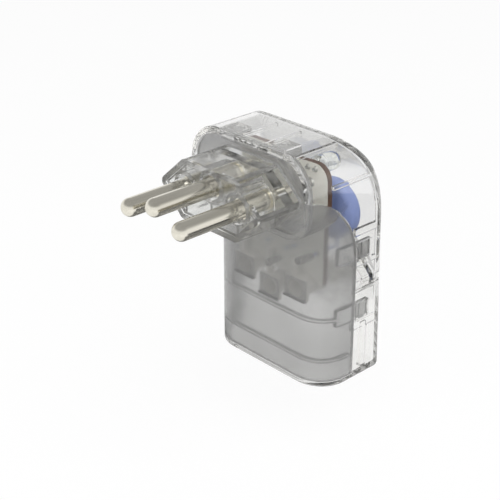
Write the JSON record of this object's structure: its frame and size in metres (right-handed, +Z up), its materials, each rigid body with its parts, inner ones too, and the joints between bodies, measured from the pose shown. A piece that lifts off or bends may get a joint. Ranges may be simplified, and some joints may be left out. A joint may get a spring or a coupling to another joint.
{
  "type": "plug-in surge protector",
  "caption": "Plug-in surge protector with three round pins on a clear hexagonal plug, a clear and frosted housing that hangs below it, and a three-pole outlet in front.",
  "frame": {"origin": "midway between the line and neutral pins, in the plane of the plug's face", "axes": "+Y along the pins into the wall socket, +Z up, +X towards the line pin; the outlet faces -Y"},
  "size_m": [0.0432, 0.0626, 0.0676],
  "materials": {
    "clear_plastic": "water-clear moulded polycarbonate, polished",
    "frosted_plastic": "smoke-grey translucent polycarbonate, finely frosted",
    "smoky_plastic": "clear polycarbonate with a faint grey tint, polished",
    "nickel_plate": "nickel-plated brass, smooth turned",
    "tinned_copper": "tinned copper wire",
    "board_laminate": "paper and resin laminate, brown at the cut edge",
    "solder": "bright solder",
    "varistor_coating": "blue dipped epoxy coating",
    "fuse_case": "cream ceramic case with tinned leads",
    "led_lens": "water-clear epoxy lens",
    "resistor_body": "beige lacquer",
    "diode_body": "black moulded epoxy",
    "contact_bronze": "dull phosphor bronze strip"
  },
  "bodies": {
    "root": {"front_shell": "clear_plastic", "back_cover": "frosted_plastic", "plug_insert": "smoky_plastic", "pin_carrier": "smoky_plastic", "line_pin": "nickel_plate", "neutral_pin": "nickel_plate", "earth_pin": "nickel_plate", "line_wire": "tinned_copper", "neutral_wire": "tinned_copper", "earth_wire": "tinned_copper", "circuit_board": "board_laminate", "solder_joints": "solder", "varistor_line_neutral": "varistor_coating", "varistor_line_earth": "varistor_coating", "varistor_neutral_earth": "varistor_coating", "thermal_fuse_line": "fuse_case", "thermal_fuse_earth": "fuse_case", "indicator_led": "led_lens", "led_resistor": "resistor_body", "led_diode": "diode_body", "socket_insert": "clear_plastic", "line_contact": "contact_bronze", "neutral_contact": "contact_bronze", "earth_contact": "contact_bronze"}
  },
  "joints": []
}
